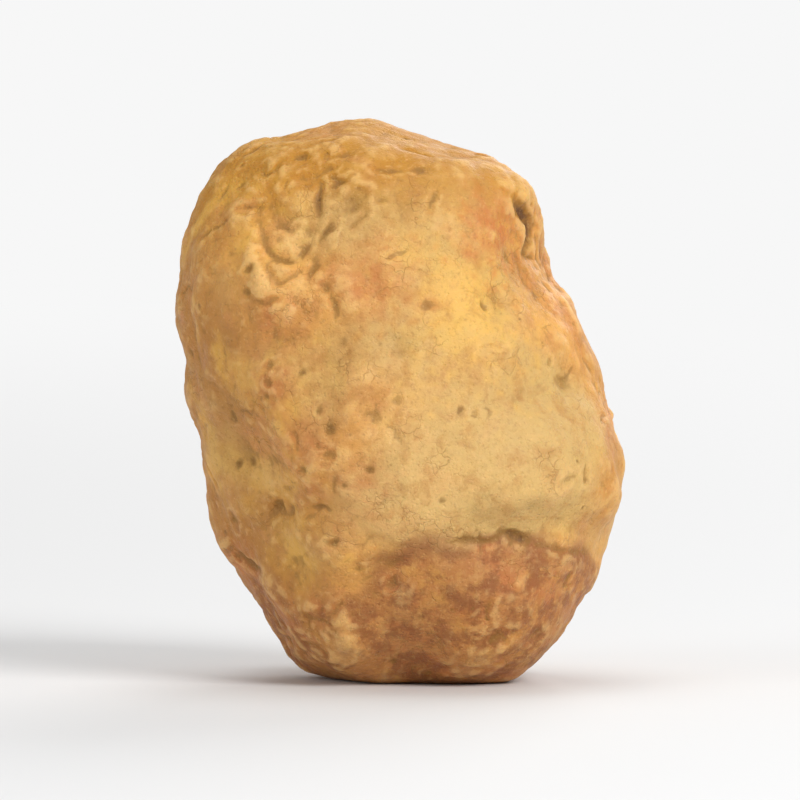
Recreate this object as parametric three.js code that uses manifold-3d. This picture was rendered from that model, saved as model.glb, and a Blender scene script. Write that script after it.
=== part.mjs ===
// White truffle: one whole fruit body, standing on its broad end.
//
// Millimetres, +Z up. The front faces -Y and +X is to its right. The origin is the middle of
// the truffle's width and depth, at the level of the small flat spot that it rests on.
//
// The body is a sphere's mesh drawn out, ray by ray from the heart of the truffle, until it
// meets a smooth union of rounded lobes. Furrows, dents and a slow swell of the skin are then
// taken from or added to the length of each ray, and the foot is cut flat.

import * as THREE from 'three';
import { mergeVertices } from 'three/addons/utils/BufferGeometryUtils.js';
import { ImprovedNoise } from 'three/addons/math/ImprovedNoise.js';
import Module from 'manifold-3d';

// Driving dimensions, in millimetres.
const WIDTH = 22.6;
const DEPTH = 20.6;
const HEIGHT = 28.0;
const FOOT_CUT = 0.8;             // how much of the round underside the flat spot takes off
const HEART = new THREE.Vector3(0, 0, 13);
const BLEND = 1.2;                // how softly one lobe runs into the next

// Lobes: the swellings that the fruit body grew into, as ellipsoids.
const LOBES = [
  { name: 'body', centre: [-0.8, 0.0, 13.2], radii: [9.1, 8.8, 9.6] },
  { name: 'crown', centre: [-3.0, 0.3, 20.4], radii: [8.0, 7.8, 7.2] },
  { name: 'left shoulder', centre: [-5.6, -0.5, 18.8], radii: [5.7, 6.2, 6.6] },
  { name: 'right shoulder', centre: [3.1, -0.6, 22.9], radii: [3.0, 4.7, 2.9] },
  { name: 'right flank', centre: [2.0, -0.8, 13.8], radii: [5.4, 6.9, 5.2] },
  { name: 'right hip', centre: [4.1, -0.7, 10.4], radii: [6.3, 7.2, 6.2] },
  { name: 'left hip', centre: [-3.7, -0.2, 10.6], radii: [5.1, 6.4, 5.3] },
  { name: 'base left', centre: [-2.4, 0.2, 4.9], radii: [4.4, 6.3, 5.2] },
  { name: 'base right', centre: [3.0, 0.1, 4.9], radii: [4.9, 6.6, 5.0] },
  { name: 'back knob', centre: [2.2, 4.8, 15.6], radii: [5.0, 4.8, 5.4] },
  { name: 'back hip', centre: [-3.4, 4.4, 8.4], radii: [5.2, 5.0, 4.8] },
];

// Furrows: creases between the lobes. Each runs through points given as degrees round the axis
// from the front towards the right, and degrees above the level of the heart.
const FURROWS = [
  { name: 'crown slit', width: 0.9, depth: 0.5, path: [[-34, 55], [-36, 47]] },
  { name: 'crown fold', width: 1.0, depth: 0.5, path: [[-46, 46], [-40, 40], [-33, 43]] },
  { name: 'shoulder notch', width: 1.1, depth: 1.1, path: [[48, 54], [68, 52], [96, 49]] },
  { name: 'hip line', width: 1.6, depth: 0.25, path: [[30, 4], [52, 12], [78, 10], [100, 2]] },
  { name: 'left flank', width: 1.3, depth: 0.5, path: [[-50, -10], [-44, -26], [-46, -38]] },
  { name: 'left flute', width: 1.2, depth: 0.4, path: [[-62, -6], [-58, -24], [-60, -36]] },
  { name: 'underside', width: 1.4, depth: 0.7, path: [[24, -30], [48, -26], [74, -30]] },
  { name: 'left back', width: 1.6, depth: 0.9, path: [[-96, 40], [-104, 14], [-122, -8]] },
  { name: 'back', width: 1.8, depth: 1.2, path: [[168, 62], [-172, 34], [176, 8], [-168, -16]] },
  { name: 'right back', width: 1.5, depth: 0.8, path: [[112, 8], [128, -14], [120, -34]] },
];

// Dents: round hollows in the skin, wider than they are deep.
const DENTS = [
  { name: 'crown hollow', at: [-22, 52], radius: 1.3, depth: 0.35 },
  { name: 'shoulder dent', at: [60, 48], radius: 1.5, depth: 0.6 },
  { name: 'cheek', at: [12, 12], radius: 3.2, depth: 0.35 },
  { name: 'old root scar', at: [150, -28], radius: 2.0, depth: 1.2 },
  { name: 'back dimple', at: [-142, 24], radius: 2.2, depth: 0.7 },
];

// Pits: small hollows scattered over the skin by a seeded draw.
const PIT_COUNT = 60;
const PIT_RADIUS = [0.55, 1.05];
const PIT_DEPTH = [0.12, 0.38];
const PIT_SEED = 41;

// The skin's own swell: slow bumps, and quicker ones on top of them.
const SWELLS = [
  { size: 6.0, height: 0.6 },
  { size: 2.7, height: 0.2 },
];

// Pads: round swellings with a narrow valley between each and the next. They fade out towards
// the smooth cheek, low on the right of the front.
const PADS = { size: 4.2, height: 0.6, mean: 0.25, bend: 1.6, bendSize: 5.3 };
const SMOOTH_CHEEK = { at: [30, 2], inner: 13, outer: 53, least: 0.15 };

const RAY_LENGTH = 24;
const RAY_STEPS = 26;
const MESH_DETAIL = 20;
const SKIN_COLOUR = 0xd0a062;
const SKIN_ROUGHNESS = 0.6;

const noise = new ImprovedNoise();

function toDirection([turn, rise]) {
  const a = THREE.MathUtils.degToRad(turn);
  const b = THREE.MathUtils.degToRad(rise);
  return new THREE.Vector3(Math.sin(a) * Math.cos(b), -Math.cos(a) * Math.cos(b), Math.sin(b));
}

// Distance outside an ellipsoid, near enough for blending.
function ellipsoidDistance(point, centre, radii) {
  const scaled = point.clone().sub(centre).divide(radii);
  const k = scaled.length();
  const gradient = scaled.clone().divide(radii).length();
  return gradient < 1e-9 ? -Math.min(...radii.toArray()) : (k * (k - 1)) / gradient;
}

const lobes = LOBES.map(({ centre, radii }) => ({
  centre: new THREE.Vector3(...centre),
  radii: new THREE.Vector3(...radii),
}));

// Distance outside the smooth union of every lobe.
function bodyDistance(point) {
  let sum = 0;
  for (const { centre, radii } of lobes) {
    sum += Math.exp(-ellipsoidDistance(point, centre, radii) / BLEND);
  }
  return -BLEND * Math.log(sum);
}

// Length of the ray from the heart to the lobes' surface, by halving.
function lobeReach(direction) {
  let inside = 0;
  let outside = RAY_LENGTH;
  for (let step = 0; step < RAY_STEPS; step += 1) {
    const middle = (inside + outside) / 2;
    const point = HEART.clone().addScaledVector(direction, middle);
    if (bodyDistance(point) < 0) inside = middle;
    else outside = middle;
  }
  return inside;
}

function bell(distance, width) {
  return Math.exp(-((distance / width) ** 2));
}

// Angle from a direction to the nearest point of a furrow's path.
const nearest = new THREE.Vector3();
function angleToPath(direction, path) {
  let least = Math.PI;
  for (let i = 1; i < path.length; i += 1) {
    const stretch = new THREE.Line3(path[i - 1], path[i]);
    stretch.closestPointToPoint(direction, true, nearest);
    least = Math.min(least, direction.angleTo(nearest));
  }
  return least;
}

function scatterPits() {
  const { seededRandom, lerp } = THREE.MathUtils;
  seededRandom(PIT_SEED);
  return Array.from({ length: PIT_COUNT }, () => {
    const turn = 2 * Math.PI * seededRandom();
    const rise = 2 * seededRandom() - 1;
    const flat = Math.sqrt(1 - rise ** 2);
    const at = new THREE.Vector3(flat * Math.cos(turn), flat * Math.sin(turn), rise);
    const radius = lerp(...PIT_RADIUS, seededRandom());
    const depth = lerp(...PIT_DEPTH, seededRandom());
    return { at, radius, depth };
  });
}

const furrows = FURROWS.map((furrow) => ({ ...furrow, path: furrow.path.map(toDirection) }));
const dents = DENTS.map((dent) => ({ ...dent, at: toDirection(dent.at) }));
const hollows = [...dents, ...scatterPits()];

const cheek = toDirection(SMOOTH_CHEEK.at);

// How rough the skin is in a direction: little on the smooth cheek, and 1 away from it.
function roughness(direction) {
  const away = THREE.MathUtils.radToDeg(direction.angleTo(cheek));
  const eased = THREE.MathUtils.smoothstep(away, SMOOTH_CHEEK.inner, SMOOTH_CHEEK.outer);
  return THREE.MathUtils.lerp(SMOOTH_CHEEK.least, 1, eased);
}

// 0 in a valley between pads and up to about 1 on their tops. The place is bent by a second
// noise first, so that no valley runs straight.
function padFold(p) {
  const { size, bend, bendSize } = PADS;
  const x = p.x + bend * noise.noise(p.y / bendSize, p.z / bendSize, 0.5);
  const y = p.y + bend * noise.noise(p.z / bendSize, p.x / bendSize, 3.5);
  const z = p.z + bend * noise.noise(p.x / bendSize, p.y / bendSize, 6.5);
  return Math.abs(noise.noise(x / size + 0.4, y / size + 0.3, z / size + 0.6));
}

function relief(direction, reach) {
  let height = 0;
  for (const { path, width, depth } of furrows) {
    height -= depth * bell(angleToPath(direction, path) * reach, width);
  }
  for (const { at, radius, depth } of hollows) {
    height -= depth * bell(direction.angleTo(at) * reach, radius);
  }
  const p = HEART.clone().addScaledVector(direction, reach);
  for (const swell of SWELLS) {
    height += swell.height * noise.noise(p.x / swell.size, p.y / swell.size, p.z / swell.size);
  }
  height += roughness(direction) * PADS.height * (padFold(p) - PADS.mean);
  return height;
}

function ballOfSkin() {
  const ball = new THREE.IcosahedronGeometry(1, MESH_DETAIL);
  ball.deleteAttribute('normal');
  ball.deleteAttribute('uv');
  const geometry = mergeVertices(ball, 1e-5);
  const position = geometry.attributes.position;
  const direction = new THREE.Vector3();
  for (let i = 0; i < position.count; i += 1) {
    direction.fromBufferAttribute(position, i).normalize();
    const reach = lobeReach(direction);
    const point = HEART.clone().addScaledVector(direction, reach + relief(direction, reach));
    position.setXYZ(i, point.x, point.y, point.z);
  }
  return geometry;
}

// Brings the body to its stated size, with the foot's cut at z = 0.
function toStatedSize(geometry) {
  geometry.computeBoundingBox();
  const { min, max } = geometry.boundingBox;
  const size = max.clone().sub(min);
  const middle = min.clone().add(max).multiplyScalar(0.5);
  geometry.translate(-middle.x, -middle.y, -min.z);
  geometry.scale(WIDTH / size.x, DEPTH / size.y, (HEIGHT + FOOT_CUT) / size.z);
  geometry.translate(0, 0, -FOOT_CUT);
  return geometry;
}

const wasm = await Module();
wasm.setup();

function toSolid(geometry) {
  const vertProperties = new Float32Array(geometry.attributes.position.array);
  const triVerts = new Uint32Array(geometry.index.array);
  return new wasm.Manifold(new wasm.Mesh({ numProp: 3, vertProperties, triVerts }));
}

function toGeometry(solid) {
  const { vertProperties, triVerts } = solid.getMesh();
  const geometry = new THREE.BufferGeometry();
  geometry.setAttribute('position', new THREE.BufferAttribute(vertProperties, 3));
  geometry.setIndex(new THREE.BufferAttribute(triVerts, 1));
  geometry.computeVertexNormals();
  return geometry;
}

// Cuts the underside off level, which leaves the flat spot.
function withFlatFoot(geometry) {
  const block = new THREE.BoxGeometry(2 * WIDTH, 2 * DEPTH, 2 * HEIGHT);
  block.translate(0, 0, -HEIGHT);
  block.deleteAttribute('normal');
  block.deleteAttribute('uv');
  return toGeometry(toSolid(geometry).subtract(toSolid(mergeVertices(block))));
}

const skin = new THREE.MeshStandardMaterial({
  color: SKIN_COLOUR,
  roughness: SKIN_ROUGHNESS,
  metalness: 0,
});

const truffle = new THREE.Mesh(withFlatFoot(toStatedSize(ballOfSkin())), skin);
truffle.name = 'truffle';

const part = new THREE.Group();
part.add(truffle);

export default part;
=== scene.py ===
# %% [markdown]
# # A white truffle
#
# A white truffle is the fruit body of a fungus that ripens under the ground. It has no stem and
# no cap: it is one firm, lobed lump with a thin ochre skin. The solid that comes with the frame
# already has its size, lobes, furrows and larger dents. This lesson gives it the skin: the small
# folds, pits and cracks as real shape, and the uneven colour as a procedural material.

# %% Load the frame
import math
import random

import bmesh
import bpy
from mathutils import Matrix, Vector, kdtree, noise
from mathutils.bvhtree import BVHTree


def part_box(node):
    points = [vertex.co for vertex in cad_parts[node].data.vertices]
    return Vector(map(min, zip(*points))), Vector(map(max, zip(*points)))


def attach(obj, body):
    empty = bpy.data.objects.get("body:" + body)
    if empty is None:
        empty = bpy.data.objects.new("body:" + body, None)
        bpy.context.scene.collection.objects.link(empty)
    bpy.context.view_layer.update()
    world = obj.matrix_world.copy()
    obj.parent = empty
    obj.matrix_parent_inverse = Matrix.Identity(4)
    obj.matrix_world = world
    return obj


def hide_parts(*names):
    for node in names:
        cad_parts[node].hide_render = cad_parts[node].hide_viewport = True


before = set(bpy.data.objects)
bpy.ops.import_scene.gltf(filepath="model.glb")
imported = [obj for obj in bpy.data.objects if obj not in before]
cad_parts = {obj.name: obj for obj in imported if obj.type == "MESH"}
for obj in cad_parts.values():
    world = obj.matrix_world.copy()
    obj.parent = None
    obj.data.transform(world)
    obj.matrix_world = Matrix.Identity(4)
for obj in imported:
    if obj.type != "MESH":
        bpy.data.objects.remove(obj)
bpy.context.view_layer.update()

MM = 0.001

low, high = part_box("truffle")
centre = (low + high) / 2
print("solid, mm:", [round(side / MM, 2) for side in high - low])

# %% [markdown]
# ## The camera
#
# Small food is best shown from far away with a long lens, so that the near side isn't swollen.
# The camera stands three degrees above the level of the truffle, straight in front of it, and
# the lens is worked out from how wide a field the picture should hold at that distance.

# %% Camera
VIEW_RISE = math.radians(3)
VIEW_DISTANCE = 600 * MM
VIEW_FIELD = 40 * MM
SENSOR_WIDTH = 36.0
NEAR_CLIP = 0.01
FAR_CLIP = 3.0


def place_camera(target):
    data = bpy.data.cameras.new("camera")
    data.sensor_width = SENSOR_WIDTH
    data.lens = SENSOR_WIDTH * VIEW_DISTANCE / VIEW_FIELD
    data.clip_start = NEAR_CLIP
    data.clip_end = FAR_CLIP
    camera = bpy.data.objects.new("camera", data)
    bpy.context.scene.collection.objects.link(camera)
    back = Vector((0, -math.cos(VIEW_RISE), math.sin(VIEW_RISE)))
    camera.location = target + back * VIEW_DISTANCE
    camera.rotation_euler = (math.pi / 2 - VIEW_RISE, 0, 0)
    bpy.context.scene.camera = camera
    return camera


camera = place_camera(centre)
print("lens, mm:", round(camera.data.lens))

# %% [markdown]
# ## An even mesh to work on
#
# The solid's triangles are large, and long ones fan across its flat foot. Skin detail needs
# small faces of one size everywhere. Subdividing would keep the fan, so a copy is merged and
# given a voxel remesh instead, and is then relaxed until the old facets can't be seen. The foot
# is relaxed for longer, which rounds its rim and leaves its middle flat.

# %% Even mesh
VOXEL = 0.175 * MM
RELAX_FACTOR = 0.5
RELAX_ROUNDS = 8
FOOT_ROUNDS = 40
FOOT_BAND = 1.2 * MM
MERGE_DISTANCE = 0.002 * MM


def copy_solid(node, name):
    bm = bmesh.new()
    bm.from_mesh(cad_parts[node].data)
    bmesh.ops.remove_doubles(bm, verts=bm.verts, dist=MERGE_DISTANCE)
    mesh = bpy.data.meshes.new(name)
    bm.to_mesh(mesh)
    bm.free()
    piece = bpy.data.objects.new(name, mesh)
    bpy.context.scene.collection.objects.link(piece)
    return piece


def apply_modifiers(piece):
    graph = bpy.context.evaluated_depsgraph_get()
    finished = bpy.data.meshes.new_from_object(piece.evaluated_get(graph))
    piece.modifiers.clear()
    piece.data = finished
    finished.name = piece.name


def remesh_evenly(piece):
    remesh = piece.modifiers.new("even", "REMESH")
    remesh.mode = "VOXEL"
    remesh.voxel_size = VOXEL
    apply_modifiers(piece)


def relax(mesh, verts, rounds):
    for _ in range(rounds):
        bmesh.ops.smooth_vert(
            mesh, verts=verts, factor=RELAX_FACTOR, use_axis_x=True, use_axis_y=True, use_axis_z=True
        )


truffle = copy_solid("truffle", "truffle_fruit_body")
remesh_evenly(truffle)
bm = bmesh.new()
bm.from_mesh(truffle.data)
relax(bm, bm.verts, RELAX_ROUNDS)
relax(bm, [vert for vert in bm.verts if vert.co.z < low.z + FOOT_BAND], FOOT_ROUNDS)
print("faces:", len(bm.faces), "vertices:", len(bm.verts))

# %% [markdown]
# ## Where the skin is rough
#
# One cheek of this truffle, on the right of its front, is smooth and pale where it grew against
# a clean stone, and two other places are partly smooth. The rest is knobbly, in some places more
# than in others. A number from 0 to about 1 says how rough each point is, and both the shape and
# the colour use it. It could be painted by hand, but a few centres with a reach, blurred by a
# noise, are easier to move and have no hard edge.

# %% Roughness mask
SMOOTH_PLACES = [
    {"name": "cheek", "place": (4.5, -8.5, 12.0), "reach": 8.4, "least": 0.22},
    {"name": "brow", "place": (2.2, -7.0, 23.5), "reach": 6.0, "least": 0.50},
    {"name": "left cheek", "place": (-6.4, -6.5, 13.5), "reach": 5.4, "least": 0.55},
]
SMOOTH_INNER = 0.35
WANDER = 2.4 * MM
WANDER_SIZE = 3.2 * MM
PATCH_SIZE = 5.0 * MM
PATCH_MEAN = 0.85
PATCH_SWING = 0.8


def ease(value):
    value = min(max(value, 0.0), 1.0)
    return value * value * (3 - 2 * value)


def roughness_at(point):
    amount = PATCH_MEAN + PATCH_SWING * noise.noise(point / PATCH_SIZE)
    for smooth in SMOOTH_PLACES:
        away = (point - Vector(smooth["place"]) * MM).length + WANDER * noise.noise(point / WANDER_SIZE)
        amount *= smooth["least"] + (1 - smooth["least"]) * ease(away / (smooth["reach"] * MM) - SMOOTH_INNER)
    return amount


# %% [markdown]
# ## Folds and papillae
#
# Skin that grows faster than the flesh under it wrinkles into soft pads with narrow creases
# between them. The absolute value of a smooth noise has just that form: round tops, and a sharp
# valley wherever the noise passes through zero. Three sizes of it are laid over each other, and
# the coordinates are bent first so that no crease runs straight. Between and on the pads the
# skin is covered with papillae, low round grains set close together. Those are domes over the
# cells of a Voronoi pattern, highest at each cell's own point. The noise that bends is seeded
# first, because without a seed it starts from the clock and differs each time.

# %% Folds and papillae
SWELL_SIZE = 3.4
SWELL_HEIGHT = 0.22
FOLDS = [
    {"size": 2.3, "height": 0.20},
    {"size": 1.2, "height": 0.15},
    {"size": 0.62, "height": 0.07},
]
FOLD_MEAN = 0.25
FOLD_OFFSET = Vector((0.0, 0.4, 0.6))
FOLD_STEP = Vector((7.3, 0.0, 0.0))
BEND = 0.55
BEND_SIZE = 1.9
BEND_SEED = 7
PAPILLA_SIZE = 0.72
PAPILLA_HEIGHT = 0.085
PAPILLA_MEAN = 0.35
PAPILLA_BEND = 0.22
PAPILLA_LEAST = 0.35


def fold_height(spot):
    bent = spot + BEND * noise.noise_vector(spot / BEND_SIZE)
    height = 0.0
    for number, fold in enumerate(FOLDS):
        shifted = bent / fold["size"] + FOLD_OFFSET + number * FOLD_STEP
        height += fold["height"] * (abs(noise.noise(shifted)) - FOLD_MEAN)
    return height


def papilla_height(spot):
    bent = spot + PAPILLA_BEND * noise.noise_vector(spot)
    from_own_point = noise.voronoi(bent / PAPILLA_SIZE)[0][0]
    return PAPILLA_HEIGHT * (PAPILLA_MEAN - from_own_point ** 2)


def skin_height(place, amount):
    """Height of the skin's own relief, in metres, where it is rough by that amount."""
    spot = place / MM
    height = SWELL_HEIGHT * noise.noise(spot / SWELL_SIZE) + amount * fold_height(spot)
    height += max(amount, PAPILLA_LEAST) * papilla_height(spot)
    return height * MM


noise.seed_set(BEND_SEED)
bm.normal_update()
bm.verts.ensure_lookup_table()
start = [(vert.co.copy(), vert.normal.copy()) for vert in bm.verts]
rough = [roughness_at(place) for place, normal in start]
rise = [skin_height(place, amount) for amount, (place, normal) in zip(rough, start)]
print("relief, mm:", round(min(rise) / MM, 3), round(max(rise) / MM, 3))

# %% [markdown]
# ## A tool that carves
#
# Soil grit, roots and insects leave pits in a growing truffle, and the skin splits where it
# dries. Each mark is a groove that is deepest along a path, and a pit is a path of one point. A
# k-d tree finds the vertices near the path, which is quick, because a mark changes only a few of
# them. The distance to the path is wobbled by a noise, so that no rim comes out as a circle.

# %% Carving
WOBBLE = 0.75
WOBBLE_SIZE = 0.5 * MM
LIP_PLACE = 1.7
LIP_WIDTH = 0.6
TAPER_END = 0.06
TAPER_POWER = 0.6
GROOVE_REACH = 3.2
PAD_REACH = 2.2

tree = kdtree.KDTree(len(start))
for index, (place, normal) in enumerate(start):
    tree.insert(place, index)
tree.balance()
surface = BVHTree.FromBMesh(bm)
wobble = [1 + WOBBLE * noise.noise(place / WOBBLE_SIZE) for place, normal in start]
# Painted shade in the carved grooves and pits, from 0 to 1.
groove_shade = [0.0] * len(start)
rust = [0.0] * len(start)
gold = [0.0] * len(start)
# Painted shade blotches, from 0 to 1.
shade = [0.0] * len(start)
# Painted highlight blotches, from 0 to 1.
painted_highlight = [0.0] * len(start)


def bell(distance, width):
    return math.exp(-((distance / width) ** 2))


def along(corners, step):
    """Points along a smooth curve through the corners, laid on the skin, each with how far along it is."""
    ends = [2 * corners[0] - corners[1]] + corners + [2 * corners[-1] - corners[-2]]
    points = []
    for number in range(len(corners) - 1):
        a, b, c, d = ends[number:number + 4]
        count = max(1, math.ceil((c - b).length / step))
        for i in range(count):
            t = i / count
            curve = 2 * b + (c - a) * t + (2 * a - 5 * b + 4 * c - d) * t**2 + (3 * b - a - 3 * c + d) * t**3
            points.append((surface.find_nearest(curve / 2)[0], (number + t) / (len(corners) - 1)))
    return points


def carve(corners, width, depth, lip=0.0, shading=0.5):
    """Sinks a groove of that half-width through the corners, tapered at its ends, with a lip beside it."""
    if len(corners) == 1:
        points = [(corners[0], 0.5)]
    else:
        points = along(corners, width / 2)
    nearest = {}
    for point, share in points:
        taper = math.sin(math.pi * (TAPER_END + (1 - 2 * TAPER_END) * share)) ** TAPER_POWER
        for _, index, distance in tree.find_range(point, GROOVE_REACH * width):
            distance *= wobble[index]
            if distance < nearest.get(index, (1.0, 0.0))[0]:
                nearest[index] = (distance, taper)
    for index, (distance, taper) in nearest.items():
        sunk = taper * bell(distance, width)
        edge = taper * bell(distance - LIP_PLACE * width, LIP_WIDTH * width)
        rise[index] += lip * edge - depth * sunk
        # Painted shade: the groove is also painted darker, most along its path.
        groove_shade[index] = max(groove_shade[index], shading * sunk)


def swell(point, reach, height):
    """Raises a soft round pad."""
    for _, index, distance in tree.find_range(point, PAD_REACH * reach):
        rise[index] += height * bell(distance * wobble[index], reach)


def blush(colour, point, reach, strength):
    """Marks the skin round a point with a colour, which is one of the lists above."""
    for _, index, distance in tree.find_range(point, PAD_REACH * reach):
        colour[index] = max(colour[index], strength * bell(distance * wobble[index], reach))


# %% [markdown]
# ## The marks that this truffle has
#
# The front carries marks that can be told apart: a pocket of skin near the crown, a few cuts,
# a crevice on the shoulder, small pads and pits. They could be sculpted by hand, but then they
# couldn't be moved later. Here each is placed by how far right of the middle and how high it
# looks from the camera, in millimetres, and a ray from the camera finds the skin there.

# %% Creases, pads and pits on the front
CREASES = [
    {"name": "crown slit", "width": 0.17, "depth": 0.22, "shading": 0.70,
     "path": [(-3.95, 24.8), (-4.05, 24.0), (-4.0, 23.2)]},
    {"name": "slit foot", "width": 0.16, "depth": 0.14, "shading": 0.55,
     "path": [(-3.4, 22.9), (-3.65, 22.5), (-4.05, 21.9)]},
    {"name": "pocket", "width": 0.30, "depth": 0.20, "shading": 0.25,
     "path": [(-7.05, 23.6), (-6.95, 22.6), (-6.6, 21.6), (-5.9, 21.05),
              (-5.2, 21.1), (-4.75, 21.6), (-4.5, 22.5)]},
    {"name": "lower pocket", "width": 0.26, "depth": 0.15, "shading": 0.22,
     "path": [(-7.1, 21.5), (-6.7, 20.6), (-6.1, 19.9), (-5.5, 20.15), (-5.0, 20.5)]},
    {"name": "pad gap", "width": 0.24, "depth": 0.14, "shading": 0.20,
     "path": [(-4.2, 21.3), (-4.4, 20.5), (-4.8, 19.7)]},
    {"name": "slanting cut", "width": 0.22, "depth": 0.15, "shading": 0.35,
     "path": [(-3.8, 20.0), (-3.3, 18.9), (-3.1, 18.2)]},
    {"name": "left nick", "width": 0.26, "depth": 0.11, "shading": 0.25,
     "path": [(-7.8, 19.4), (-7.0, 18.9), (-6.1, 19.1)]},
    {"name": "cheek crack", "width": 0.12, "depth": 0.05, "shading": 0.25,
     "path": [(3.7, 13.8), (4.5, 13.5), (4.3, 12.9)]},
    {"name": "flank crease", "width": 0.34, "depth": 0.30, "shading": 0.5,
     "path": [(-8.4, 6.5), (-7.7, 5.8), (-7.0, 5.4)]},
    {"name": "ragged edge", "width": 0.20, "depth": 0.16, "shading": 0.5,
     "path": [(2.4, 6.9), (3.4, 7.0), (4.4, 6.9), (5.3, 7.3)]},
    {"name": "ragged notch", "width": 0.28, "depth": 0.26, "shading": 0.9,
     "path": [(5.2, 7.3), (5.9, 7.15), (6.5, 6.8)]},
    {"name": "ragged tail", "width": 0.20, "depth": 0.12, "shading": 0.35,
     "path": [(6.8, 6.8), (8.0, 6.5), (9.4, 6.35)]},
    {"name": "shoulder crevice", "width": 0.42, "depth": 0.55, "shading": 1.0,
     "path": [(5.8, 23.9), (6.4, 23.2), (6.6, 22.4), (6.4, 21.7)]},
]
PADS = [
    {"place": (-5.6, 21.9), "reach": 0.7, "height": 0.26},
    {"place": (-7.5, 21.0), "reach": 0.6, "height": 0.10},
    {"place": (-7.0, 20.2), "reach": 0.4, "height": 0.08},
    {"place": (-5.7, 20.6), "reach": 0.4, "height": 0.08},
    {"place": (-4.2, 21.4), "reach": 0.4, "height": 0.10},
    {"place": (-3.5, 23.8), "reach": 0.5, "height": 0.10},
    {"place": (-5.9, 18.6), "reach": 0.8, "height": 0.10},
    {"place": (-5.2, 7.4), "reach": 1.3, "height": 0.16},
]
PITS = [
    {"place": (-2.3, 24.0), "radius": 0.75, "depth": 0.22, "shading": 0.30},
    {"place": (-7.6, 19.4), "radius": 0.24, "depth": 0.10, "shading": 0.35},
    {"place": (-3.7, 19.5), "radius": 0.26, "depth": 0.10, "shading": 0.35},
    {"place": (1.4, 18.7), "radius": 0.28, "depth": 0.08, "shading": 0.25},
    {"place": (4.2, 18.8), "radius": 0.30, "depth": 0.08, "shading": 0.15},
    {"place": (-4.9, 15.4), "radius": 0.22, "depth": 0.10, "shading": 0.55},
    {"place": (-6.6, 14.9), "radius": 0.26, "depth": 0.12, "shading": 0.45},
    {"place": (-4.1, 13.4), "radius": 0.18, "depth": 0.08, "shading": 0.45},
    {"place": (-3.5, 12.6), "radius": 0.32, "depth": 0.12, "shading": 0.50},
    {"place": (-4.8, 10.5), "radius": 0.20, "depth": 0.10, "shading": 0.50},
    {"place": (-1.5, 10.5), "radius": 0.24, "depth": 0.12, "shading": 0.60},
    {"place": (-2.8, 9.7), "radius": 0.16, "depth": 0.06, "shading": 0.35},
    {"place": (2.1, 8.9), "radius": 0.26, "depth": 0.08, "shading": 0.35},
    {"place": (-3.3, 6.8), "radius": 0.24, "depth": 0.12, "shading": 0.60},
]


def front_point(x, z):
    eye = camera.location
    aim = Vector((x, 0, z)) * MM - eye
    return surface.ray_cast(eye, aim.normalized())[0]


for crease in CREASES:
    corners = [front_point(x, z) for x, z in crease["path"]]
    carve(corners, crease["width"] * MM, crease["depth"] * MM, shading=crease["shading"])
for pad in PADS:
    swell(front_point(*pad["place"]), pad["reach"] * MM, pad["height"] * MM)
for pit in PITS:
    carve([front_point(*pit["place"])], pit["radius"] * MM, pit["depth"] * MM, shading=pit["shading"])
print("marks:", len(CREASES), "creases,", len(PADS), "pads,", len(PITS), "pits")

# %% [markdown]
# ## Blushes
#
# Ripe skin flushes in soft blotches: rusty where it was bruised and golden where it is sound.
# Two more kinds are painted light: olive-brown blotches are painted shade in folds and at the
# crown, and pale blotches are painted highlight on the lower cheek and on small pads. A blotch has
# no shape of its own, so it only writes a strength round a place, and the material mixes the
# colour in later.

# %% Blushes on the front
RUSTY = [
    {"place": (-1.4, 19.6), "reach": 1.8, "strength": 0.7},
    {"place": (-1.0, 21.8), "reach": 0.9, "strength": 0.5},
    {"place": (4.9, 22.8), "reach": 2.1, "strength": 1.0},
    {"place": (3.4, 21.4), "reach": 0.7, "strength": 0.8},
    {"place": (-6.5, 18.3), "reach": 0.8, "strength": 0.6},
    {"place": (-6.6, 14.9), "reach": 1.1, "strength": 0.8},
    {"place": (-4.6, 12.0), "reach": 1.7, "strength": 0.5},
    {"place": (-2.0, 9.9), "reach": 1.3, "strength": 0.5},
    {"place": (1.4, 18.7), "reach": 0.8, "strength": 0.5},
    {"place": (-7.8, 5.6), "reach": 1.6, "strength": 0.8},
]
GOLDEN = [
    {"place": (3.2, 19.0), "reach": 3.2, "strength": 0.9},
    {"place": (0.6, 21.2), "reach": 1.6, "strength": 0.6},
    {"place": (-7.4, 22.0), "reach": 1.6, "strength": 0.6},
    {"place": (-5.2, 6.6), "reach": 1.5, "strength": 0.7},
]
# Painted shade: olive-brown blotches where folds and the crown lie in shade.
SHADED = [
    {"place": (-2.9, 24.2), "reach": 2.0, "strength": 0.8},
    {"place": (0.6, 23.9), "reach": 1.0, "strength": 0.4},
    {"place": (-8.4, 17.2), "reach": 0.6, "strength": 0.8},
    {"place": (-8.5, 13.8), "reach": 1.0, "strength": 0.7},
    {"place": (-3.5, 12.6), "reach": 0.7, "strength": 0.8},
    {"place": (-5.6, 12.8), "reach": 0.5, "strength": 0.6},
    {"place": (-3.2, 16.4), "reach": 2.4, "strength": 0.6},
    {"place": (-0.6, 17.3), "reach": 1.6, "strength": 0.5},
    {"place": (-2.6, 13.6), "reach": 1.5, "strength": 0.4},
    {"place": (-6.1, 20.6), "reach": 0.5, "strength": 0.8},
    {"place": (-4.5, 21.2), "reach": 0.4, "strength": 0.7},
    {"place": (-6.9, 22.1), "reach": 0.4, "strength": 0.5},
]
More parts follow.
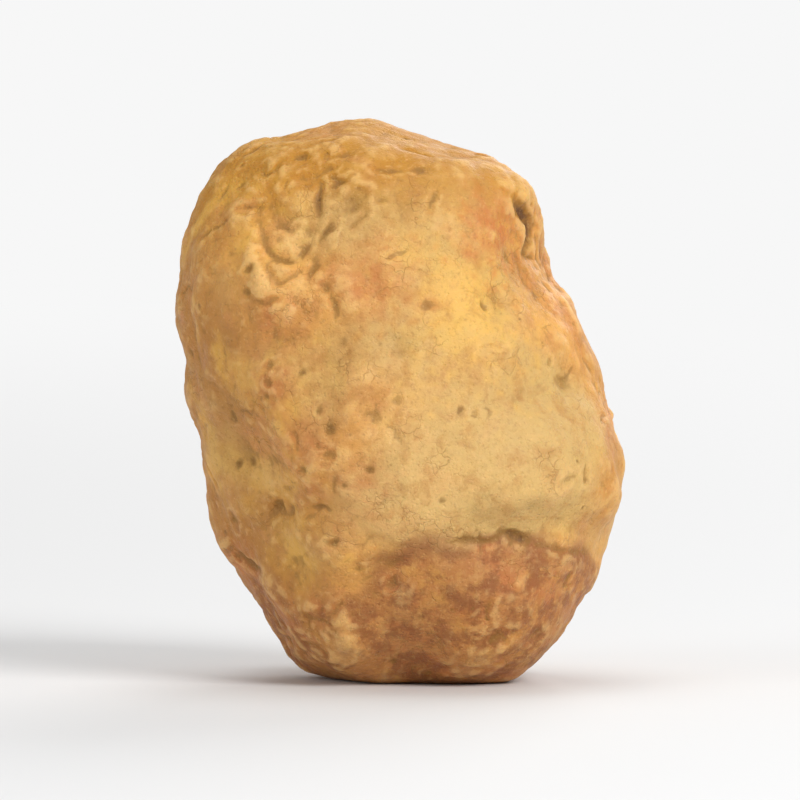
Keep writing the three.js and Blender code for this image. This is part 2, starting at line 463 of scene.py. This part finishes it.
# Painted highlight: pale blotches on the lower cheek and on the tops of small pads.
PAINTED_HIGHLIGHT = [
    {"place": (1.6, 9.0), "reach": 2.6, "strength": 1.0},
    {"place": (-0.6, 8.2), "reach": 2.0, "strength": 0.8},
    {"place": (-0.8, 12.9), "reach": 1.6, "strength": 0.6},
    {"place": (-6.6, 10.4), "reach": 1.2, "strength": 0.6},
    {"place": (-5.5, 21.8), "reach": 0.7, "strength": 0.9},
    {"place": (-5.0, 19.7), "reach": 0.6, "strength": 0.6},
    {"place": (-6.9, 20.0), "reach": 0.5, "strength": 0.5},
]

for colour, marks in ((rust, RUSTY), (gold, GOLDEN), (shade, SHADED), (painted_highlight, PAINTED_HIGHLIGHT)):
    for mark in marks:
        blush(colour, front_point(*mark["place"]), mark["reach"] * MM, mark["strength"])
print("blushes:", len(RUSTY), "rusty,", len(GOLDEN), "golden,", len(SHADED), "shaded,", len(PAINTED_HIGHLIGHT), "painted_highlight")

# %% [markdown]
# ## Marks that are scattered
#
# Most pits, cracks and blotches have no place of their own, so a seeded draw scatters them, and
# gives the same truffle every time. Fewer land where the skin is smooth. Small pits are far more
# common than large ones, which is what raising the draw to a power does. A depth is drawn as a
# share of the mark's own width, so that no small mark is deep.

# %% Scattered marks
SEED = 7
PIT_COUNT = 520
PIT_SMALLEST = 0.09 * MM
PIT_SPREAD = 0.34 * MM
PIT_POWER = 3
PIT_DEPTHS = (0.20, 0.50)
PIT_SHADING = (0.0, 0.6)
PIT_LIP = 0.08
CRACK_COUNT = 110
CRACK_STEPS = 6
CRACK_STEP = 0.40 * MM
CRACK_TURN = 0.55
CRACK_WIDTHS = (0.10, 0.20)
CRACK_DEPTHS = (0.5, 1.0)
CRACK_SHADING = (0.0, 0.5)
BLUSH_COUNT = 34
BLUSH_REACHES = (0.6, 1.6)
BLUSH_STRENGTHS = (0.2, 0.7)
draw = random.Random(SEED)


def random_heading():
    return Vector([draw.gauss(0, 1) for _ in range(3)]).normalized()


def wander(begin, steps, step):
    """A path over the skin that keeps turning a little."""
    heading = random_heading()
    path = [begin]
    for _ in range(steps):
        heading = (heading + CRACK_TURN * random_heading()).normalized()
        path.append(surface.find_nearest(path[-1] + heading * step)[0])
    return path


for _ in range(PIT_COUNT):
    index = draw.randrange(len(start))
    radius = PIT_SMALLEST + PIT_SPREAD * draw.random() ** PIT_POWER
    path = wander(start[index][0], draw.randrange(3), radius)
    depth = draw.uniform(*PIT_DEPTHS) * radius
    shading = draw.uniform(*PIT_SHADING)
    if draw.random() < rough[index]:
        carve(path, radius, depth, lip=PIT_LIP * radius, shading=shading)

for _ in range(CRACK_COUNT):
    index = draw.randrange(len(start))
    path = wander(start[index][0], draw.randrange(3, CRACK_STEPS), CRACK_STEP)
    width = draw.uniform(*CRACK_WIDTHS) * MM
    depth = draw.uniform(*CRACK_DEPTHS) * width
    shading = draw.uniform(*CRACK_SHADING)
    if draw.random() < rough[index]:
        carve(path, width, depth, shading=shading)

for _ in range(BLUSH_COUNT):
    index = draw.randrange(len(start))
    reach = draw.uniform(*BLUSH_REACHES) * MM
    blush(rust, start[index][0], reach, draw.uniform(*BLUSH_STRENGTHS) * rough[index])
print("scattered:", PIT_COUNT, "pits,", CRACK_COUNT, "cracks,", BLUSH_COUNT, "blotches at most")

# %% [markdown]
# ## The underside
#
# The truffle's lower end is russet: partly the skin's own browner tone, and partly painted shade
# where the underside turns away from the light. Mostly the russet fades out upwards over several
# millimetres, but on the right of the front, just under the pale cheek, it ends at a crisp, ragged
# and darker line, a painted shade along a crevice. One mask can do both: a level that wanders
# with a noise, and a blur at that level which grows with the distance from the crisp place.

# %% Underside mask
RUSSET_LEVEL = 4.0 * MM
RUSSET_CLIMB = 3.2 * MM
RUSSET_PLACE = Vector((5.0, -7.5, 6.5)) * MM
RUSSET_REACH = 4.5 * MM
RUSSET_EDGE = 0.5 * MM
RUSSET_BLUR = 0.35
RAGGED = 3.0 * MM
RAGGED_SIZE = 3.2 * MM
RAGGED_LEAST = 0.25
RAGGED_SHIFT = Vector((2.3, 1.2, 1.4))
RAGGED_FALLOFF = 1.0
RAGGED_GAP = 2.0
RAGGED_OCTAVES = 3


def underside_at(point):
    """How far inside the russet skin a point is, from 0 to 1, and how near its crisp edge."""
    away = (point - RUSSET_PLACE).length
    near = ease(2 - away / RUSSET_REACH)
    ragged = RAGGED * (1 - near * (1 - RAGGED_LEAST))
    spot = point / RAGGED_SIZE + RAGGED_SHIFT
    ragged *= noise.fractal(spot, RAGGED_FALLOFF, RAGGED_GAP, RAGGED_OCTAVES)
    level = RUSSET_LEVEL + RUSSET_CLIMB * near + ragged
    inside = ease((level - point.z) / (RUSSET_EDGE + RUSSET_BLUR * away) + 0.5)
    return inside, near * 4 * inside * (1 - inside)


underside, russet_edge = zip(*(underside_at(place) for place, normal in start))
print("russet share of the skin:", round(sum(underside) / len(underside), 2))

# %% [markdown]
# ## Move the skin
#
# Every height is now known, so each vertex moves once along the normal that it started with.
# The foot stays flat: nothing may go below the level that the truffle rests on.

# %% Move the skin
FOOT_MARGIN = 0.6 * MM

for vert, (place, normal), height in zip(bm.verts, start, rise):
    hold = ease((place.z - low.z) / FOOT_MARGIN)
    vert.co = place + normal * height * hold
    vert.co.z = max(vert.co.z, low.z)
bm.normal_update()
print("lowest point, mm:", round(min(vert.co.z for vert in bm.verts) / MM, 3))

# %% [markdown]
# ## Hollows and crests
#
# The low places of the skin are painted darker with olive, a painted shade, and the high places
# paler with cream, a painted highlight. To know which is which, a copy of the mesh is smoothed
# until the detail is gone: where the skin lies below its smooth copy, it is a hollow. A few rounds
# of smoothing find small hollows, and many rounds find the furrows too. The results are kept on
# the vertices for the material.

# %% Hollows and crests
FINE_ROUNDS = 6
WIDE_ROUNDS = 60
FINE_RANGE = 0.030 * MM
WIDE_RANGE = 0.200 * MM


def hollow_map(rounds, full_range):
    """How deep each vertex lies below the smoothed skin: 0.5 is level with it, and 1 a deep hollow."""
    copy = bm.copy()
    relax(copy, copy.verts, rounds)
    depths = [(smooth.co - vert.co).dot(vert.normal) for smooth, vert in zip(copy.verts, bm.verts)]
    copy.free()
    print("hollows, mm:", round(min(depths) / MM, 2), "to", round(max(depths) / MM, 2))
    return [min(max(0.5 + depth / (2 * full_range), 0.0), 1.0) for depth in depths]


def keep_attribute(name, values):
    layer = bm.verts.layers.float.new(name)
    for vert, value in zip(bm.verts, values):
        vert[layer] = value


fine_hollow = hollow_map(FINE_ROUNDS, FINE_RANGE)
wide_hollow = hollow_map(WIDE_ROUNDS, WIDE_RANGE)
kept = {
    "groove_shade": groove_shade, "rust": rust, "gold": gold, "shade": shade, "painted_highlight": painted_highlight, "rough": rough,
    "underside": underside, "russet_edge": russet_edge,
    "fine_hollow": fine_hollow, "wide_hollow": wide_hollow,
}
for name, values in kept.items():
    keep_attribute(name, values)
for face in bm.faces:
    face.smooth = True
bm.to_mesh(truffle.data)
bm.free()

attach(truffle, "root")
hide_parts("truffle")

# %% [markdown]
# ## Tools for materials
#
# A material is a graph of small steps. A short class keeps the graph readable: each method adds
# one kind of step, joins what is given to it, and hands back the step's result.

# %% Node helpers


class Maker:
    """Adds nodes to one material, and joins them as it goes."""

    def __init__(self, material):
        material.use_nodes = True
        self.tree = material.node_tree
        self.tree.nodes.clear()

    def node(self, kind, **settings):
        made = self.tree.nodes.new(kind)
        for name, value in settings.items():
            setattr(made, name, value)
        return made

    def join(self, source, socket):
        self.tree.links.new(source, socket)

    def fill(self, socket, value):
        if isinstance(value, bpy.types.NodeSocket):
            self.join(value, socket)
        else:
            socket.default_value = value

    def attribute(self, name):
        return self.node("ShaderNodeAttribute", attribute_name=name).outputs["Fac"]

    def noise(self, place, scale, detail=3.0, roughness=0.55, distortion=0.0):
        made = self.node("ShaderNodeTexNoise")
        self.join(place, made.inputs["Vector"])
        made.inputs["Scale"].default_value = scale
        made.inputs["Detail"].default_value = detail
        made.inputs["Roughness"].default_value = roughness
        made.inputs["Distortion"].default_value = distortion
        return made.outputs["Fac"]

    def stir(self, place, scale, amount):
        """The place, pushed about by a noise, so that a pattern on it isn't regular."""
        push = self.node("ShaderNodeTexNoise")
        self.join(place, push.inputs["Vector"])
        push.inputs["Scale"].default_value = scale
        made = self.node("ShaderNodeVectorMath", operation="MULTIPLY_ADD")
        self.join(push.outputs["Color"], made.inputs[0])
        made.inputs[1].default_value = (amount, amount, amount)
        self.join(place, made.inputs[2])
        return made.outputs[0]

    def cells(self, place, scale, feature="F1"):
        made = self.node("ShaderNodeTexVoronoi", feature=feature)
        self.join(place, made.inputs["Vector"])
        made.inputs["Scale"].default_value = scale
        return made.outputs["Distance"]

    def math(self, operation, first, second=0.0):
        made = self.node("ShaderNodeMath", operation=operation)
        self.fill(made.inputs[0], first)
        self.fill(made.inputs[1], second)
        return made.outputs[0]

    def times(self, *factors):
        result = factors[0]
        for factor in factors[1:]:
            result = self.math("MULTIPLY", result, factor)
        return result

    def band(self, value, start, end, low=0.0, high=1.0):
        """Eases from low to high while the value goes from start to end, which may run downwards."""
        made = self.node("ShaderNodeMapRange", interpolation_type="SMOOTHSTEP")
        self.fill(made.inputs["Value"], value)
        made.inputs["From Min"].default_value = start
        made.inputs["From Max"].default_value = end
        made.inputs["To Min"].default_value = low
        made.inputs["To Max"].default_value = high
        return made.outputs["Result"]

    def patches(self, place, scale, start, end, detail=3.0, roughness=0.55, distortion=0.0):
        """Soft patches of a noise: 0 where it is below start, and 1 where it is above end."""
        return self.band(self.noise(place, scale, detail, roughness, distortion), start, end)

    def wash(self, under, colour, amount):
        """Lays a colour over what is under it, as thickly as amount says."""
        made = self.node("ShaderNodeMix", data_type="RGBA")
        self.fill(made.inputs[0], amount)
        self.fill(made.inputs[6], under)
        self.fill(made.inputs[7], colour)
        return made.outputs[2]


def tone(red, green, blue):
    """A colour given as it looks on a screen, 0 to 255, as the renderer's own values."""
    return tuple(((c / 255 + 0.055) / 1.055) ** 2.4 for c in (red, green, blue)) + (1.0,)


# %% [markdown]
# ## The skin's colour
#
# Ripe skin is a golden ochre, and never one flat colour. It could be a picture wrapped round the
# truffle, but that needs seams and blurs from close by. Instead it is built as a painter would,
# in thin washes: each tone below is laid over the ones before it, where its mask says so, and
# every mask is worked out from the place on the truffle.

# %% Skin tones
GOLD = tone(220, 160, 82)
AMBER = tone(184, 126, 30)
OCHRE = tone(178, 120, 52)
YELLOW = tone(236, 184, 84)
STRAW = tone(203, 168, 104)
PINK = tone(206, 138, 84)
RUSSET = tone(178, 116, 62)
RUST = tone(192, 104, 54)
OLIVE = tone(142, 100, 40)
BROWN = tone(136, 80, 42)
UMBER = tone(84, 48, 22)
CREAM = tone(236, 194, 124)

# %% [markdown]
# ## Cracks in the skin
#
# Where the skin has dried a little it opens in cracks as fine as a hair. They are too thin for
# the mesh, so they are drawn in the material: the edges between the cells of a Voronoi pattern,
# stirred so that they aren't straight, and kept only in patches.

# %% Skin cracks
CRACK_NET_SCALE = 1.1
CRACK_STIR_SCALE = 1.6
CRACK_STIR = 0.9
CRACK_PATCH_SCALE = 0.40
CRACK_RIM = 0.045
CRACK_CORE = 0.005


def skin_cracks(make, place):
    """1 in the hair-fine cracks that open in patches of the skin, and 0 between them."""
    stirred = make.stir(place, CRACK_STIR_SCALE, CRACK_STIR)
    edges = make.cells(stirred, CRACK_NET_SCALE, "DISTANCE_TO_EDGE")
    patches = make.patches(place, CRACK_PATCH_SCALE, 0.50, 0.66)
    return make.times(make.band(edges, CRACK_RIM, CRACK_CORE), patches)


# %% [markdown]
# ## The washes of colour
#
# The ground is gold. Over it come, in this order: ochre towards the left side, a painted shade;
# amber at the crown, partly painted shade; straw on the smooth places of the front; the blushes,
# of which the olive ones are painted shade and the pale ones painted highlight; the russet
# underside and its edge, partly painted shade; cream on the crests, a painted highlight, and olive
# in the hollows, a painted shade; the cracks; painted shade in the carved pits and grooves; and fine
# specks last. Each row below is one wash: its tone, and the masks that say how thickly it lies.
# The two numbers of a band are where it begins and where it is full, and the last number of a
# row is the most that the wash covers.

# %% Skin colour


def skin_ground(make, place, cracks):
    rough_here = make.attribute("rough")
    russet_here = make.attribute("underside")
    fine = make.attribute("fine_hollow")
    wide = make.attribute("wide_hollow")
    shading = make.attribute("groove_shade")
    spot = make.node("ShaderNodeSeparateXYZ")
    make.join(place, spot.inputs[0])
    across, back, up = spot.outputs
    breakup = make.patches(place, 1.5, 0.30, 0.64, 4, 0.65)
    washes = [
        # The drift of the whole skin.
        (OCHRE, make.times(make.patches(place, 0.16, 0.38, 0.62), 0.6)),
        # Painted shade: ochre deepens towards the left side, more so lower down.
        (OCHRE, make.times(make.band(across, -1.0, -9.0), make.band(up, 21.0, 15.0, 0.4, 1.0), 0.75)),
        # Amber at the crown: partly the skin's own tone, partly painted shade that darkens the top.
        (AMBER, make.times(make.band(up, 21.0, 26.0), 0.9)),
        (YELLOW, make.times(make.patches(place, 0.23, 0.48, 0.68, 3, 0.6, 0.6), 0.55)),
        (STRAW, make.times(make.band(rough_here, 0.70, 0.20), make.band(back, 3.0, -3.0, 0.4, 1.0), 0.9)),
        # Blushes.
        # Painted highlight: cream blotches on the lower cheek and small pads.
        (CREAM, make.times(make.attribute("painted_highlight"), 0.6)),
        # Painted shade: ochre over the lower left.
        (OCHRE, make.times(make.band(across, -3.0, -6.5), make.band(up, 11.0, 7.0), 0.8)),
        (YELLOW, make.times(make.attribute("gold"), 0.8)),
        (PINK, make.times(make.patches(place, 0.42, 0.50, 0.66, 4, 0.6, 0.5), rough_here, 0.6)),
        (OCHRE, make.times(make.patches(place, 0.85, 0.46, 0.70, 4, 0.62, 0.4), 0.45)),
        (RUST, make.times(make.attribute("rust"), make.band(breakup, 0.0, 1.0, 0.35, 1.0), 0.8)),
        # Painted shade: olive-brown blotches in folds and at the crown.
        (OLIVE, make.times(make.attribute("shade"), make.band(breakup, 0.0, 1.0, 0.5, 1.0), 0.5)),
        # More painted shade at the crown, in amber.
        (AMBER, make.times(make.band(up, 22.5, 26.5), 0.55)),
        # The underside: the skin's own browner tone and painted shade together, with a painted shade line at
        # its crisp edge.
        (RUSSET, make.times(russet_here, make.band(breakup, 0.0, 1.0, 0.55, 1.0), 0.9)),
        (RUST, make.times(russet_here, make.patches(place, 0.5, 0.48, 0.70, 3, 0.6, 0.3), 0.35)),
        (BROWN, make.times(russet_here, make.patches(place, 0.7, 0.44, 0.60, 4, 0.66), 0.70)),
        (BROWN, make.times(make.attribute("russet_edge"), 0.6)),
        # Crests and hollows: cream on the crests is painted highlight, olive in the hollows painted shade.
        (CREAM, make.times(make.band(wide, 0.42, 0.10), 0.30)),
        (OLIVE, make.times(make.band(wide, 0.58, 0.95), 0.50)),
        (CREAM, make.times(make.band(fine, 0.40, 0.05), 0.25)),
        (OLIVE, make.times(make.band(fine, 0.60, 0.95), 0.40)),
        # Cracks, and painted shade in the carved grooves and pits.
        (OLIVE, make.times(cracks, 0.27)),
        (OLIVE, make.times(make.band(shading, 0.06, 0.42), 0.6)),
        (UMBER, make.times(make.band(shading, 0.34, 0.80), breakup, 0.8)),
        # Specks.
        (OLIVE, make.times(make.band(make.cells(place, 1.9), 0.22, 0.08), breakup, rough_here, 0.5)),
        (BROWN, make.times(make.patches(place, 4.2, 0.50, 0.74, 3, 0.7), 0.25)),
        (CREAM, make.times(make.patches(place, 5.4, 0.56, 0.74, 2, 0.6), 0.20)),
    ]
    ground = make.node("ShaderNodeRGB").outputs[0]
    ground.default_value = GOLD
    for colour, amount in washes:
        ground = make.wash(ground, colour, amount)
    print("washes of colour:", len(washes))
    return ground


# %% [markdown]
# ## The skin's grain and shine
#
# Close up, the skin is finely grained, with pores a quarter of a millimetre apart. That is below
# the size of a face, so it is bump, while everything larger is real shape. The skin is matt but
# slightly waxy: light goes in a little way and comes out warmer, which is subsurface scattering,
# and the shine is weak and uneven.

# %% Skin grain
GRAIN_SCALE = 3.4
PORE_SCALE = 4.2
PORE_DEPTH = 0.35
CRACK_DEPTH = 0.4
BUMP_STRENGTH = 0.75
BUMP_DISTANCE = 0.10 * MM


def skin_bump(make, place, cracks):
    grain = make.noise(place, GRAIN_SCALE, 5, 0.66)
    pores = make.times(make.band(make.cells(place, PORE_SCALE), 0.02, 0.40), PORE_DEPTH)
    height = make.math("SUBTRACT", make.math("ADD", grain, pores), make.times(cracks, CRACK_DEPTH))
    bump = make.node("ShaderNodeBump")
    bump.inputs["Strength"].default_value = BUMP_STRENGTH
    bump.inputs["Distance"].default_value = BUMP_DISTANCE
    make.join(height, bump.inputs["Height"])
    return bump.outputs["Normal"]


# %% Skin material
SHINE = 0.35
DULL_SCALE = 1.2
ROUGHNESS_LOW = 0.46
ROUGHNESS_HIGH = 0.64
GLOW_WEIGHT = 0.25
GLOW_COLOUR = (1.0, 0.45, 0.18)
GLOW_DEPTH = 0.6 * MM


def skin_material():
    material = bpy.data.materials.new("truffle_skin")
    make = Maker(material)
    in_mm = make.node("ShaderNodeMapping")
    in_mm.inputs["Scale"].default_value = (1 / MM, 1 / MM, 1 / MM)
    make.join(make.node("ShaderNodeTexCoord").outputs["Object"], in_mm.inputs["Vector"])
    place = in_mm.outputs["Vector"]
    cracks = skin_cracks(make, place)
    shader = make.node("ShaderNodeBsdfPrincipled")
    make.join(skin_ground(make, place, cracks), shader.inputs["Base Color"])
    dull = make.band(make.noise(place, DULL_SCALE), 0.3, 0.7, ROUGHNESS_LOW, ROUGHNESS_HIGH)
    make.join(dull, shader.inputs["Roughness"])
    make.join(skin_bump(make, place, cracks), shader.inputs["Normal"])
    shader.inputs["Specular IOR Level"].default_value = SHINE
    shader.inputs["Subsurface Weight"].default_value = GLOW_WEIGHT
    shader.inputs["Subsurface Radius"].default_value = GLOW_COLOUR
    shader.inputs["Subsurface Scale"].default_value = GLOW_DEPTH
    output = make.node("ShaderNodeOutputMaterial")
    make.join(shader.outputs["BSDF"], output.inputs["Surface"])
    return material


truffle.data.materials.clear()
truffle.data.materials.append(skin_material())
print("skin nodes:", len(truffle.data.materials[0].node_tree.nodes))

# %% [markdown]
# ## The floor
#
# A pale, matt table shows the truffle's foot and its soft shadow. A plain disc would end in a
# visible edge, so far from the truffle it fades into the colour of the room, and no edge of it
# shows from any side.

# %% Floor
FLOOR_RADIUS = 1.5
FLOOR_SIDES = 96
FLOOR_ROUGHNESS = 0.7
FLOOR_TONE = 0.74
ROOM_TONE = 0.93
FADE_START = 60 * MM
FADE_END = 420 * MM


def floor_material():
    material = bpy.data.materials.new("table")
    make = Maker(material)
    place = make.node("ShaderNodeTexCoord").outputs["Object"]
    away = make.node("ShaderNodeVectorMath", operation="LENGTH")
    make.join(place, away.inputs[0])
    fade = make.band(away.outputs["Value"], FADE_START, FADE_END)
    matt = make.node("ShaderNodeBsdfPrincipled")
    matt.inputs["Base Color"].default_value = (FLOOR_TONE, FLOOR_TONE, FLOOR_TONE, 1)
    matt.inputs["Roughness"].default_value = FLOOR_ROUGHNESS
    glow = make.node("ShaderNodeEmission")
    glow.inputs["Color"].default_value = (ROOM_TONE, ROOM_TONE, ROOM_TONE, 1)
    blend = make.node("ShaderNodeMixShader")
    make.join(fade, blend.inputs[0])
    make.join(matt.outputs["BSDF"], blend.inputs[1])
    make.join(glow.outputs["Emission"], blend.inputs[2])
    output = make.node("ShaderNodeOutputMaterial")
    make.join(blend.outputs["Shader"], output.inputs["Surface"])
    return material


def make_floor():
    bm = bmesh.new()
    bmesh.ops.create_circle(bm, cap_ends=True, segments=FLOOR_SIDES, radius=FLOOR_RADIUS)
    mesh = bpy.data.meshes.new("floor")
    bm.to_mesh(mesh)
    bm.free()
    mesh.materials.append(floor_material())
    floor = bpy.data.objects.new("floor", mesh)
    bpy.context.scene.collection.objects.link(floor)
    return floor


make_floor()
print("floor, m across:", 2 * FLOOR_RADIUS)

# %% [markdown]
# ## The light
#
# Relief as low as a truffle's needs light from one side, and soft shadows. A large soft lamp on
# the right models the lobes, and a weaker one on the left opens the shadows. One overhead and
# one behind separate the truffle from the room, and light it for a view from the back. The room
# itself looks pale to the camera and gives the skin only a little light.

# %% Room and lamps
ROOM_LIGHT = 0.35
LAMPS = [
    {"name": "key_lamp", "place": (0.36, -0.42, 0.34), "size": 0.34, "power": 3.3},
    {"name": "fill_lamp", "place": (-0.48, -0.30, 0.20), "size": 0.34, "power": 0.7},
    {"name": "top_lamp", "place": (-0.05, 0.10, 0.55), "size": 0.40, "power": 1.0},
    {"name": "back_lamp", "place": (0.20, 0.50, 0.26), "size": 0.34, "power": 1.2},
]


def light_room():
    world = bpy.data.worlds.new("room")
    bpy.context.scene.world = world
    world.use_nodes = True
    tree = world.node_tree
    tree.nodes.clear()
    seen = tree.nodes.new("ShaderNodeBackground")
    seen.inputs["Color"].default_value = (ROOM_TONE, ROOM_TONE, ROOM_TONE, 1)
    lit = tree.nodes.new("ShaderNodeBackground")
    lit.inputs["Strength"].default_value = ROOM_LIGHT
    lit.inputs["Color"].default_value = (1, 1, 1, 1)
    ray = tree.nodes.new("ShaderNodeLightPath")
    pick = tree.nodes.new("ShaderNodeMixShader")
    output = tree.nodes.new("ShaderNodeOutputWorld")
    tree.links.new(ray.outputs["Is Camera Ray"], pick.inputs[0])
    tree.links.new(lit.outputs[0], pick.inputs[1])
    tree.links.new(seen.outputs[0], pick.inputs[2])
    tree.links.new(pick.outputs[0], output.inputs["Surface"])


def hang_lamp(name, place, size, power):
    data = bpy.data.lights.new(name, "AREA")
    data.shape = "DISK"
    data.size = size
    data.energy = power
    lamp = bpy.data.objects.new(name, data)
    bpy.context.scene.collection.objects.link(lamp)
    lamp.location = place
    aim = centre - lamp.location
    lamp.rotation_euler = aim.to_track_quat("-Z", "Y").to_euler()


light_room()
for lamp in LAMPS:
    hang_lamp(**lamp)
bpy.context.scene.view_settings.view_transform = "Standard"
print("lamps:", len(LAMPS))
